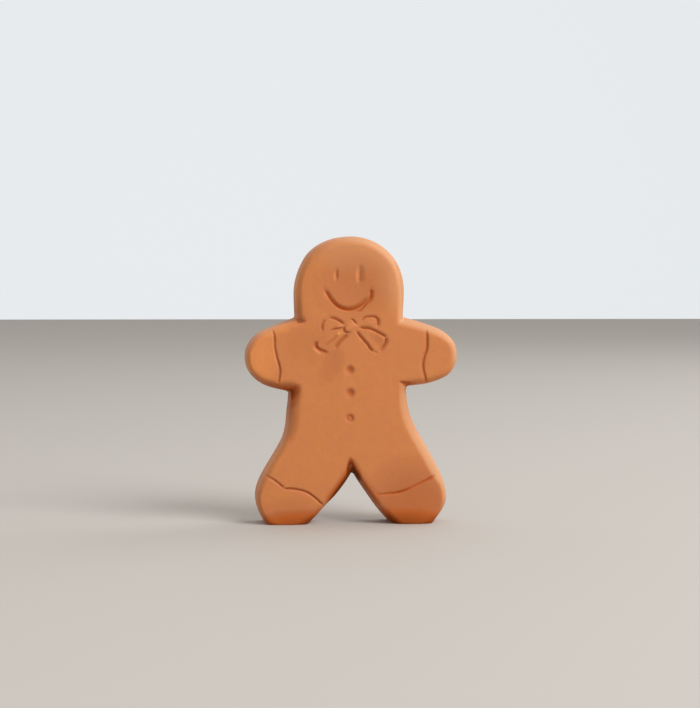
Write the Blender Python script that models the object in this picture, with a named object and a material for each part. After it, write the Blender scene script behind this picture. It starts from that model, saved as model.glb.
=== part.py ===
"""A small standing gingerbread man, pressed in terracotta clay and fired.

One solid slab in the shape of the figure. It faces -Y and stands on the flat soles
of its feet at z = 0. The front edge is broadly rounded, the back is flat, and the
face, bow, buttons, mitten cuffs and boot cuffs are pressed lines in the front.
Sizes below are in millimetres and are turned into metres where the mesh is made.
"""

import math
from collections import namedtuple

import bmesh
import bpy
from mathutils import Matrix, Vector
from mathutils.geometry import interpolate_bezier

MM = 0.001

# Driving sizes of the slab.
FIGURE_NAME = "gingerbread_man"
HEIGHT = 76.0
HALF_WIDTH = 28.35
OVERALL_DEPTH = 11.0
KNOT_PROUD = 0.3
FRONT_Y = -OVERALL_DEPTH / 2 + KNOT_PROUD
BACK_Y = OVERALL_DEPTH / 2
OUTLINE_STEP = 1.8

# The edge of the slab, from its widest line out. The side leans in a little towards
# the front, as clay does to leave a mould, and then turns over in a broad round.
BACK_ROUNDING = 0.7
BACK_ROUND_STEPS = 2
WIDEST_BAND = 0.6
SIDE_LEAN = 0.5
FRONT_ROUND_WIDTH = 2.1
FRONT_ROUND_DEPTH = 3.0
FRONT_ROUND_STEPS = 4
SIDE_DEPTH = OVERALL_DEPTH - KNOT_PROUD - BACK_ROUNDING - WIDEST_BAND - FRONT_ROUND_DEPTH

# The feet are drawn a little longer than they are and cut off flat at the soles.
SOLE_OVERLAP = 3.2

# Fired clay, as a Principled BSDF sees it.
CLAY_COLOUR = (0.60, 0.21, 0.065, 1.0)
CLAY_ROUGHNESS = 0.68

# How a pressed line is swept, as a tube with ten sides.
LINE_BEVEL_RESOLUTION = 3
LINE_STEP = 0.9
LINE_END_LIFT = 0.75
BALL_SIDES = 14
BALL_RINGS = 9
SMOOTH_ANGLE = math.radians(38)

# A point of the outline or of a pressed line, seen from the front: x to the right,
# z up, and the way the line runs there in degrees, 0 to the right and 90 up. A
# corner has a second heading, for the way the line leaves it.
Key = namedtuple("Key", "x z heading leaves", defaults=(None,))

# A line pressed into the front, with its width and depth at the surface.
Line = namedtuple("Line", "name keys width depth")

# A round dent pressed into the front.
Dent = namedtuple("Dent", "name x z radius depth")

CROTCH = Key(0.25, 13.2, 120, -119)

RIGHT_SIDE = (
    Key(0.0, HEIGHT, 0),
    Key(11.4, 70.5, -52),
    Key(14.3, 61.1, -90),
    Key(14.0, 54.45, -90, -14),
    Key(22.0, 52.05, -20),
    Key(26.85, 49.05, -48),
    Key(HALF_WIDTH, 44.4, -90),
    Key(26.3, 39.3, -134),
    Key(21.45, 36.85, -161),
    Key(14.9, 35.8, -169, -89),
    Key(15.9, 28.8, -73),
    Key(19.1, 22.1, -58),
    Key(23.4, 14.2, -62),
    Key(25.6, 7.0, -90),
    Key(22.5, 0.5, -126),
    Key(16.9, -SOLE_OVERLAP, 180),
    Key(10.9, -1.0, 137),
    Key(5.55, 5.2, 124),
)

LEFT_SIDE = (
    Key(-5.5, 5.6, -135),
    Key(-11.6, -0.8, -138),
    Key(-17.3, -SOLE_OVERLAP, 180),
    Key(-23.4, 0.1, 122),
    Key(-25.7, 7.0, 90),
    Key(-23.0, 14.4, 60),
    Key(-19.0, 21.2, 62),
    Key(-17.3, 28.2, 86),
    Key(-16.7, 34.55, 88, 165),
    Key(-22.75, 36.2, 157),
    Key(-27.15, 39.75, 124),
    Key(-HALF_WIDTH, 44.4, 90),
    Key(-26.4, 48.9, 50),
    Key(-21.2, 52.0, 23),
    Key(-15.1, 54.4, 21, 92),
    Key(-15.3, 60.7, 90),
    Key(-12.7, 69.75, 60),
)

FACE_LINES = (
    Line("left_eye", (Key(-4.1, 67.3, -91), Key(-4.25, 63.9, -94)), 1.1, 0.45),
    Line("right_eye", (Key(1.95, 67.6, -91), Key(1.8, 63.4, -93)), 1.3, 0.45),
    Line("smile", (Key(-7.4, 62.0, -62), Key(-4.6, 57.9, -46), Key(-1.1, 56.5, 3),
                   Key(2.6, 57.5, 36), Key(4.75, 62.0, 90)), 1.1, 0.6),
)

BOW_LINES = (
    Line("bow_left_top", (Key(-6.4, 54.2, 0), Key(-3.6, 53.4, -32), Key(-2.2, 52.5, -33)), 0.8, 0.4),
    Line("bow_left_end", (Key(-7.5, 53.4, -118), Key(-7.9, 50.8, -82)), 0.9, 0.35),
    Line("bow_left_under", (Key(-6.3, 50.9, 14), Key(-2.6, 51.7, 10)), 0.7, 0.3),
    Line("bow_left_tail_end", (Key(-9.2, 48.4, -110), Key(-9.0, 46.2, -50), Key(-6.4, 45.2, -18)), 1.0, 0.5),
    Line("bow_left_tail_top", (Key(-7.5, 46.9, 36), Key(-4.1, 49.4, 36)), 0.6, 0.15),
    Line("bow_left_tail_under", (Key(-1.2, 50.1, -140), Key(-4.7, 46.0, -112)), 0.8, 0.3),
    Line("bow_right_loop", (Key(2.2, 53.2, 52), Key(4.4, 54.5, 4), Key(6.5, 53.3, -78),
                            Key(6.45, 51.9, -92)), 0.8, 0.4),
    Line("bow_right_under", (Key(1.5, 51.75, -10), Key(4.3, 51.4, -14), Key(8.9, 49.1, -30)), 0.8, 0.45),
    Line("bow_right_tail_end", (Key(8.7, 49.3, -97), Key(6.8, 45.5, -130)), 0.9, 0.45),
    Line("bow_right_tail_under", (Key(0.9, 51.0, -65), Key(2.5, 48.7, -52), Key(5.6, 45.35, -34)), 0.8, 0.5),
    Line("knot_top", (Key(-0.8, 54.0, -10), Key(1.2, 52.6, -42)), 0.6, 0.3),
    Line("knot_under", (Key(-2.1, 52.2, -104), Key(-1.9, 50.7, -48), Key(-0.5, 50.5, 4)), 0.6, 0.35),
)

CUFF_LINES = (
    Line("left_mitten", (Key(-21.1, 51.4, -70), Key(-20.4, 46.8, -86), Key(-19.1, 41.2, -84),
                         Key(-19.5, 37.0, -98)), 0.8, 0.35),
    Line("right_mitten", (Key(19.4, 51.4, -87), Key(19.5, 46.0, -100), Key(18.5, 42.1, -92),
                          Key(19.5, 37.2, -72)), 0.8, 0.35),
    Line("left_boot", (Key(-23.0, 13.2, -29), Key(-17.6, 9.6, -14), Key(-12.3, 8.7, -25),
                       Key(-7.7, 5.0, -46)), 0.7, 0.4),
    Line("right_boot", (Key(9.5, 8.0, 5), Key(13.8, 8.9, 17), Key(22.0, 12.9, 29)), 0.7, 0.3),
)

BUTTONS = (
    Dent("button_top", -0.75, 40.7, 1.0, 0.5),
    Dent("button_middle", -0.65, 34.65, 1.05, 0.5),
    Dent("button_bottom", -0.7, 28.05, 0.95, 0.45),
)

KNOT = Dent("bow_knot", -0.55, 51.85, 1.6, KNOT_PROUD)


def clear_scene():
    """Removes every object, so that the model starts from nothing."""
    for old in list(bpy.data.objects):
        bpy.data.objects.remove(old)


def clay():
    """The one material, matt orange-brown fired clay."""
    material = bpy.data.materials.new("terracotta")
    material.use_nodes = True
    shader = material.node_tree.nodes["Principled BSDF"]
    shader.inputs["Base Color"].default_value = CLAY_COLOUR
    shader.inputs["Roughness"].default_value = CLAY_ROUGHNESS
    shader.inputs["Metallic"].default_value = 0.0
    return material


def direction(degrees):
    """A unit vector in the front's plane."""
    angle = math.radians(degrees)
    return Vector((math.cos(angle), math.sin(angle), 0.0))


def turn_between(first, second):
    """The angle between two headings, in radians, from 0 to half a turn."""
    turn = abs(first - second) % 360
    return math.radians(min(turn, 360 - turn))


def stretch(start, end, step):
    """Points from one key up to the next, on an arc-like curve that keeps both headings."""
    first = Vector((start.x, start.z, 0.0))
    last = Vector((end.x, end.z, 0.0))
    leaves = start.heading if start.leaves is None else start.leaves
    chord = (last - first).length
    handle = chord / (3 * math.cos(turn_between(leaves, end.heading) / 4) ** 2)
    first_handle = first + direction(leaves) * handle
    last_handle = last - direction(end.heading) * handle
    count = max(3, round(chord / step) + 1)
    return interpolate_bezier(first, first_handle, last_handle, last, count)[:-1]


def figure_outline():
    """The figure's closed outline, clockwise from the top of the head."""
    keys = RIGHT_SIDE + (CROTCH,) + LEFT_SIDE
    points = []
    for start, end in zip(keys, keys[1:] + keys[:1]):
        points += stretch(start, end, OUTLINE_STEP)
    return points


def line_path(keys):
    """The points of an open pressed line, first and last included."""
    points = []
    for start, end in zip(keys, keys[1:]):
        points += stretch(start, end, LINE_STEP)
    return points + [Vector((keys[-1].x, keys[-1].z, 0.0))]


def step_in(bm, face, inset, rise):
    """Moves a face out by a rise and its rim in by an inset, with a band of wall behind it."""
    bmesh.ops.inset_region(bm, faces=[face], thickness=inset, depth=rise, use_boundary=True,
                           use_even_offset=True)


def turn_over(bm, face, width, depth, steps):
    """Turns the side over into the front or back face, along a quarter of an ellipse."""
    angles = [math.pi / 2 * step / steps for step in range(steps + 1)]
    for low, high in zip(angles, angles[1:]):
        inset = width * (math.cos(low) - math.cos(high))
        rise = depth * (math.sin(high) - math.sin(low))
        step_in(bm, face, inset, rise)


def cut_soles(bm):
    """Cuts the feet off flat at z = 0 and closes the two soles."""
    cut = bmesh.ops.bisect_plane(bm, geom=bm.verts[:] + bm.edges[:] + bm.faces[:], dist=1e-5,
                                 plane_co=(0, 0, 0), plane_no=(0, 0, 1), clear_inner=True)
    rim = [item for item in cut["geom_cut"] if isinstance(item, bmesh.types.BMEdge)]
    bmesh.ops.holes_fill(bm, edges=rim, sides=0)


def new_object(name, bm, material=None):
    """Turns a bmesh in millimetres into an object in metres."""
    bmesh.ops.scale(bm, vec=(MM, MM, MM), verts=bm.verts)
    mesh = bpy.data.meshes.new(name)
    bm.to_mesh(mesh)
    bm.free()
    if material:
        mesh.materials.append(material)
    item = bpy.data.objects.new(name, mesh)
    bpy.context.scene.collection.objects.link(item)
    return item


def clay_slab(material):
    """The slab: its widest band, built out to the back and to the front, its soles cut."""
    bm = bmesh.new()
    widest = BACK_Y - BACK_ROUNDING - WIDEST_BAND
    front = bm.faces.new([bm.verts.new((point.x, widest, point.y)) for point in figure_outline()])
    band = bmesh.ops.extrude_face_region(bm, geom=[front], use_keep_orig=True)
    moved = [item for item in band["geom"] if isinstance(item, bmesh.types.BMVert)]
    back = next(item for item in band["geom"] if isinstance(item, bmesh.types.BMFace))
    bmesh.ops.translate(bm, verts=moved, vec=(0, WIDEST_BAND, 0))
    bmesh.ops.recalc_face_normals(bm, faces=bm.faces)
    turn_over(bm, back, BACK_ROUNDING, BACK_ROUNDING, BACK_ROUND_STEPS)
    step_in(bm, front, SIDE_LEAN, SIDE_DEPTH)
    turn_over(bm, front, FRONT_ROUND_WIDTH, FRONT_ROUND_DEPTH, FRONT_ROUND_STEPS)
    cut_soles(bm)
    bmesh.ops.recalc_face_normals(bm, faces=bm.faces)
    return new_object(FIGURE_NAME, bm, material)


def pressed_tube(line):
    """A round tube along a line, which comes up out of the clay towards its ends."""
    radius = (line.width ** 2 / 4 + line.depth ** 2) / (2 * line.depth)
    path = line_path(line.keys)
    curve = bpy.data.curves.new(line.name, "CURVE")
    curve.dimensions = "3D"
    curve.bevel_depth = radius * MM
    curve.bevel_resolution = LINE_BEVEL_RESOLUTION
    curve.use_fill_caps = True
    spline = curve.splines.new("POLY")
    spline.points.add(len(path) - 1)
    for index, point in enumerate(path):
        along = index / (len(path) - 1)
        lift = LINE_END_LIFT * line.depth * abs(2 * along - 1) ** 4
        height = FRONT_Y - radius + line.depth - lift
        spline.points[index].co = (point.x * MM, height * MM, point.y * MM, 1.0)
    guide = bpy.data.objects.new(line.name, curve)
    bpy.context.scene.collection.objects.link(guide)
    mesh = bpy.data.meshes.new_from_object(guide.evaluated_get(bpy.context.evaluated_depsgraph_get()))
    bpy.data.objects.remove(guide)
    bm = bmesh.new()
    bm.from_mesh(mesh)
    bmesh.ops.remove_doubles(bm, verts=bm.verts, dist=1e-6)
    bmesh.ops.recalc_face_normals(bm, faces=bm.faces)
    bmesh.ops.scale(bm, vec=(1 / MM, 1 / MM, 1 / MM), verts=bm.verts)
    return new_object(line.name, bm)


def ball(name, x, z, depth, radius, squash):
    """A ball at a point of the front, flattened from front to back by squash."""
    bm = bmesh.new()
    bmesh.ops.create_uvsphere(bm, u_segments=BALL_SIDES, v_segments=BALL_RINGS, radius=radius)
    bmesh.ops.rotate(bm, verts=bm.verts, matrix=Matrix.Rotation(math.pi / 2, 3, "X"))
    bmesh.ops.scale(bm, verts=bm.verts, vec=(1, squash, 1))
    bmesh.ops.translate(bm, verts=bm.verts, vec=(x, depth, z))
    return new_object(name, bm)


def pressed_dent(dent):
    """The round end of a stick that is pressed into the clay."""
    radius = (dent.radius ** 2 + dent.depth ** 2) / (2 * dent.depth)
    return ball(dent.name, dent.x, dent.z, FRONT_Y - radius + dent.depth, radius, 1.0)


def raised_knot(knot):
    """The bow's knot, a low round lump that stands a little proud of the front."""
    return ball(knot.name, knot.x, knot.z, FRONT_Y, knot.radius, knot.depth / knot.radius)


def tuck_away(guide, collection):
    """Moves a cutting shape into its collection and out of the render."""
    for owner in list(guide.users_collection):
        owner.objects.unlink(guide)
    collection.objects.link(guide)
    guide.hide_render = True
    guide.display_type = "WIRE"


def new_collection(name):
    """A collection of cutting shapes."""
    collection = bpy.data.collections.new(name)
    bpy.context.scene.collection.children.link(collection)
    return collection


def join_shapes(figure, name, operation, shapes):
    """Adds shapes to the figure, or presses them into it, with one Boolean."""
    collection = new_collection(name)
    for shape in shapes:
        tuck_away(shape, collection)
    modifier = figure.modifiers.new(name, "BOOLEAN")
    modifier.operation = operation
    modifier.operand_type = "COLLECTION"
    modifier.collection = collection
    modifier.solver = "EXACT"


def shade(figure):
    """Smooth shading on the rounded edges, sharp where faces meet at an angle."""
    figure.data.shade_smooth()
    figure.data.set_sharp_from_angle(angle=SMOOTH_ANGLE)


def main():
    """Builds the figure."""
    clear_scene()
    figure = clay_slab(clay())
    shade(figure)
    join_shapes(figure, "raised", "UNION", [raised_knot(KNOT)])
    pressed = [pressed_tube(line) for line in FACE_LINES + BOW_LINES + CUFF_LINES]
    pressed += [pressed_dent(button) for button in BUTTONS]
    join_shapes(figure, "pressed", "DIFFERENCE", pressed)


main()
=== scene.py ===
"""A small standing gingerbread man of fired terracotta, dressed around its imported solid.

The figure is one pressed slab of clay. This script makes its fine surface: the soft
rounded edges, the lines that the mould presses into its front, the slight unevenness
of hand-pressed clay, and the matt mottled finish. Sizes are in millimetres, seen from
the front with x to the right and z up, and become metres when a mesh is finished.
"""

import logging
import math
from dataclasses import dataclass, replace
from enum import Enum

import bmesh
import bpy
import numpy as np
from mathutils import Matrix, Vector, noise
from mathutils.bvhtree import BVHTree
from mathutils.geometry import interpolate_bezier
from mathutils.kdtree import KDTree


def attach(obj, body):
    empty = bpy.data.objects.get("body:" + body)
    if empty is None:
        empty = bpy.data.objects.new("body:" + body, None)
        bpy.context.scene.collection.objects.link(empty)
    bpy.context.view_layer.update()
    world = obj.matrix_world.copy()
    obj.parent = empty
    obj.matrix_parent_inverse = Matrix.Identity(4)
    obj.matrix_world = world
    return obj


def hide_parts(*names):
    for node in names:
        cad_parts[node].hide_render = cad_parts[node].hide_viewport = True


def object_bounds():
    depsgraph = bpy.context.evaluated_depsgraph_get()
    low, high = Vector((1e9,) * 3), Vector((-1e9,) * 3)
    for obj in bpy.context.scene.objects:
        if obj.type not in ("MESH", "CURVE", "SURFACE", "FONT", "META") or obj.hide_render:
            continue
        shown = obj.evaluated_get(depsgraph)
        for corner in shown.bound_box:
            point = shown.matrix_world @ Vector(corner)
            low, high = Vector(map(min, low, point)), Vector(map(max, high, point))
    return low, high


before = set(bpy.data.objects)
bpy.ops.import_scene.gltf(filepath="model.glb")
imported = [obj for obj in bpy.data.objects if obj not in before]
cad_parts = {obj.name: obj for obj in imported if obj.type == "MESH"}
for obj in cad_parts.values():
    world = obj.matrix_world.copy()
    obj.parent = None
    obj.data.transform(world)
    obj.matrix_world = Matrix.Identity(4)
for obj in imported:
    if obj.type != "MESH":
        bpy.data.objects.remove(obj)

CAD_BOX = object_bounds()
MM = 0.001
NODE = "gingerbread_man"
BODY = "root"
LOG = logging.getLogger("gingerbread_man")

# A curve between two keys has at least this many points.
FEWEST_POINTS = 3
# The share of its depth that a pressed line keeps at its very ends.
LINE_END_SHARE = 0.15
# How full the curve of a pressed line's wall is, from 0, hollow, to 2, round.
WALL_FULLNESS = 0.8

Colour = tuple[float, float, float]
Span = tuple[float, float]
Socket = bpy.types.NodeSocket


class Mark(Enum):
    """Which way a round mark works.

    A dent goes into the front, deepens its colour or makes its edge rounder, and a lump
    does the opposite.
    """

    DENT = 1.0
    LUMP = -1.0


@dataclass(frozen=True)
class Key:
    """A point that a line passes, and the way the line runs there in degrees, 90 being up.

    A corner has a second heading, for the way the line leaves it. A key with no heading
    takes that of the chord between its neighbours.
    """

    x: float
    z: float
    heading: float | None = None
    leaves: float | None = None

    def place(self) -> Vector:
        """The point in the plane of the front."""
        return Vector((self.x, self.z, 0.0))


def direction(degrees: float) -> Vector:
    """A unit vector in the plane of the front."""
    angle = math.radians(degrees)
    return Vector((math.cos(angle), math.sin(angle), 0.0))


def stretch(start: Key, end: Key, step: float) -> list[Vector]:
    """Points from one key up to the next, on an arc-like curve that keeps both headings.

    Args:
        start: The key that the stretch leaves.
        end: The key that it runs to, which is left out of the points.
        step: The distance between points.

    Returns:
        The points, the first of them at the start key.
    """
    first, last = start.place(), end.place()
    leaves = start.heading if start.leaves is None else start.leaves
    turn = abs(leaves - end.heading) % 360
    turn = math.radians(min(turn, 360 - turn))
    chord = (last - first).length
    # Handles of this length make the curve follow an arc of a circle.
    handle = chord / (3 * math.cos(turn / 4) ** 2)
    points = interpolate_bezier(
        first,
        first + direction(leaves) * handle,
        last - direction(end.heading) * handle,
        last,
        max(FEWEST_POINTS, round(chord / step) + 1),
    )
    return points[:-1]


def with_headings(keys: tuple[Key, ...]) -> list[Key]:
    """Gives each key a heading: its own, or else that of the chord between its neighbours.

    Args:
        keys: The keys of a line, in order.

    Returns:
        The same keys, none without a heading.
    """
    befores, afters = keys[:1] + keys[:-1], keys[1:] + keys[-1:]
    complete = []
    for key, before, after in zip(keys, befores, afters):
        run = after.place() - before.place()
        chord = math.degrees(math.atan2(run.y, run.x))
        complete.append(key if key.heading is not None else replace(key, heading=chord))
    return complete


def smoothstep(value: np.ndarray) -> np.ndarray:
    """Turns a ramp from 0 to 1 into one with soft ends."""
    ramp = np.clip(value, 0.0, 1.0)
    return ramp * ramp * (3 - 2 * ramp)


def soft_step(value: np.ndarray, span: Span) -> np.ndarray:
    """A soft change from 0 to 1, as a value goes from the span's start to its end."""
    start, end = span
    return smoothstep((value - start) / (end - start))


@dataclass(frozen=True)
class PressedLine:
    """A line that the mould presses into the front.

    Its two sides may slope differently: left and right are how far each wall reaches
    from the line's lowest run, seen along the way the line runs. The strengths are the
    share of the full depth at each key, the fade is the length over which an end runs
    out, and painted_shade is how much the clay's colour is darkened in it as painted shade.
    """

    name: str
    keys: tuple[Key, ...]
    depth: float
    left: float
    right: float
    strengths: tuple[float, ...] = ()
    fade: float = 0.9
    painted_shade: float = 1.0
    step: float = 0.12

    def path(self) -> tuple[np.ndarray, np.ndarray]:
        """Draws the line through its keys.

        Returns:
            The points of the line, and the share of its depth that it has at each.
        """
        points: list[Vector] = []
        marks: list[int] = []
        keys = with_headings(self.keys)
        for start, end in zip(keys, keys[1:]):
            marks.append(len(points))
            points += stretch(start, end, self.step)
        marks.append(len(points))
        points.append(self.keys[-1].place())
        spots = np.array([(point.x, point.y) for point in points])
        strengths = self.strengths or (1.0,) * len(self.keys)
        share = np.interp(np.arange(len(spots)), marks, strengths)
        gaps = np.linalg.norm(np.diff(spots, axis=0), axis=1)
        along = np.concatenate(([0.0], np.cumsum(gaps)))
        from_end = np.minimum(along, along[-1] - along)
        kept = LINE_END_SHARE + (1 - LINE_END_SHARE) * smoothstep(from_end / self.fade)
        return spots, share * kept

    def press(self, spots: np.ndarray) -> np.ndarray:
        """How deep the line goes at each spot.

        Args:
            spots: The x and z of each vertex.

        Returns:
            A depth for each, 0 away from the line.
        """
        path, share = self.path()
        reach = max(self.left, self.right)
        low, high = path.min(axis=0) - reach, path.max(axis=0) + reach
        near = np.flatnonzero(np.all((spots > low) & (spots < high), axis=1))
        depths = np.zeros(len(spots))
        if len(near) == 0:
            return depths
        tangents = np.gradient(path, axis=0)
        tangents /= np.linalg.norm(tangents, axis=1)[:, None]
        gaps = spots[near][:, None, :] - path[None, :, :]
        squared = (gaps ** 2).sum(axis=2)
        nearest = squared.argmin(axis=1)
        rows = np.arange(len(near))
        offset, tangent = gaps[rows, nearest], tangents[nearest]
        side = tangent[:, 0] * offset[:, 1] - tangent[:, 1] * offset[:, 0]
        wall = np.where(side > 0, self.left, self.right)
        away = np.clip(np.sqrt(squared[rows, nearest]) / wall, 0.0, 1.0)
        profile = (1 - away) ** 2 * (1 + WALL_FULLNESS * away)
        depths[near] = self.depth * share[nearest] * profile
        return depths


@dataclass(frozen=True)
class RoundMark:
    """A round or oval mark on the front, turned by an angle in degrees.

    It fades from its middle to its rim, and a low sharpness keeps it full for longer. Its
    depth is in millimetres, or a share where it marks colour, painted shade or painted highlight.
    """

    name: str
    x: float
    z: float
    half_width: float
    half_height: float
    depth: float
    mark: Mark
    turn: float = 0.0
    sharpness: float = 2.0

    def press(self, spots: np.ndarray) -> np.ndarray:
        """How deep the mark goes at each spot, below 0 for a lump.

        Args:
            spots: The x and z of each vertex.

        Returns:
            A depth for each, 0 away from the mark.
        """
        along = direction(self.turn)
        offset = spots - np.array((self.x, self.z))
        across = (offset[:, 0] * along.x + offset[:, 1] * along.y) / self.half_width
        up = (offset[:, 1] * along.x - offset[:, 0] * along.y) / self.half_height
        inside = np.clip(1 - across ** 2 - up ** 2, 0.0, 1.0)
        return self.mark.value * self.depth * inside ** self.sharpness


@dataclass(frozen=True)
class Grain:
    """A noise in the clay.

    The cells are per metre, the detail is how many finer layers it has, the roughness is
    how strong they are, and the span is the part of its range that is stretched to the full.
    """

    cells: float
    detail: float
    roughness: float = 0.55
    span: Span = (0.0, 1.0)


class NodeBench:
    """The nodes of a material or a world, with a method for each kind that is added."""

    def __init__(self, owner: bpy.types.Material | bpy.types.World) -> None:
        """Turns the owner's nodes on."""
        owner.use_nodes = True
        self.nodes, self.links = owner.node_tree.nodes, owner.node_tree.links

    def noise(self, grain: Grain) -> Socket:
        """Adds a noise that stays put on the object, as it comes.

        Args:
            grain: The kind of noise, whose span isn't used here.

        Returns:
            The socket of the noise's value.
        """
        place = self.nodes.new("ShaderNodeTexCoord").outputs["Object"]
        node = self.nodes.new("ShaderNodeTexNoise")
        node.inputs["Scale"].default_value = grain.cells
        node.inputs["Detail"].default_value = grain.detail
        node.inputs["Roughness"].default_value = grain.roughness
        self.links.new(place, node.inputs["Vector"])
        return node.outputs["Fac"]

    def grain(self, grain: Grain, result: Span = (0.0, 1.0)) -> Socket:
        """Adds a noise with its span stretched.

        Args:
            grain: The kind of noise.
            result: What the two ends of its span become.

        Returns:
            The socket of the stretched value.
        """
        return self.remap(self.noise(grain), grain.span, result)

    def tone(self, attribute: str) -> Socket:
        """Reads one of the mesh's own values, by the name of its attribute."""
        node = self.nodes.new("ShaderNodeAttribute")
        node.attribute_name = attribute
        return node.outputs["Fac"]

    def remap(self, value: Socket, before: Span, after: Span = (0.0, 1.0)) -> Socket:
        """Takes a value from one range to another.

        Args:
            value: The socket of the value.
            before: The two ends of the range it is in.
            after: What these become.

        Returns:
            The socket of the new value.
        """
        node = self.nodes.new("ShaderNodeMapRange")
        for name, limit in zip(("From Min", "From Max", "To Min", "To Max"), before + after):
            node.inputs[name].default_value = limit
        self.links.new(value, node.inputs["Value"])
        return node.outputs["Result"]

    def mix(self, share: Socket, first: Socket | Colour, second: Socket | Colour) -> Socket:
        """Mixes two colours.

        Args:
            share: The socket of the second colour's share.
            first: The colour at a share of 0, as a socket or a linear colour.
            second: The colour at a share of 1.

        Returns:
            The socket of the mixed colour.
        """
        node = self.nodes.new("ShaderNodeMix")
        node.data_type = "RGBA"
        self.links.new(share, node.inputs[0])
        # The mix has sockets for numbers and vectors too: 6 and 7 take colours, 2 gives one.
        for socket, colour in ((node.inputs[6], first), (node.inputs[7], second)):
            if isinstance(colour, tuple):
                socket.default_value = (*colour, 1.0)
            else:
                self.links.new(colour, socket)
        return node.outputs[2]

    def bump(self, height: Socket, strength: float, distance: float) -> bpy.types.ShaderNodeBump:
        """Adds a bump.

        Args:
            height: The socket of its pattern.
            strength: Its strength, from 0 to 1.
            distance: The height of the pattern in metres.

        Returns:
            The bump's node.
        """
        node = self.nodes.new("ShaderNodeBump")
        node.inputs["Strength"].default_value = strength
        node.inputs["Distance"].default_value = distance
        self.links.new(height, node.inputs["Height"])
        return node


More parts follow.
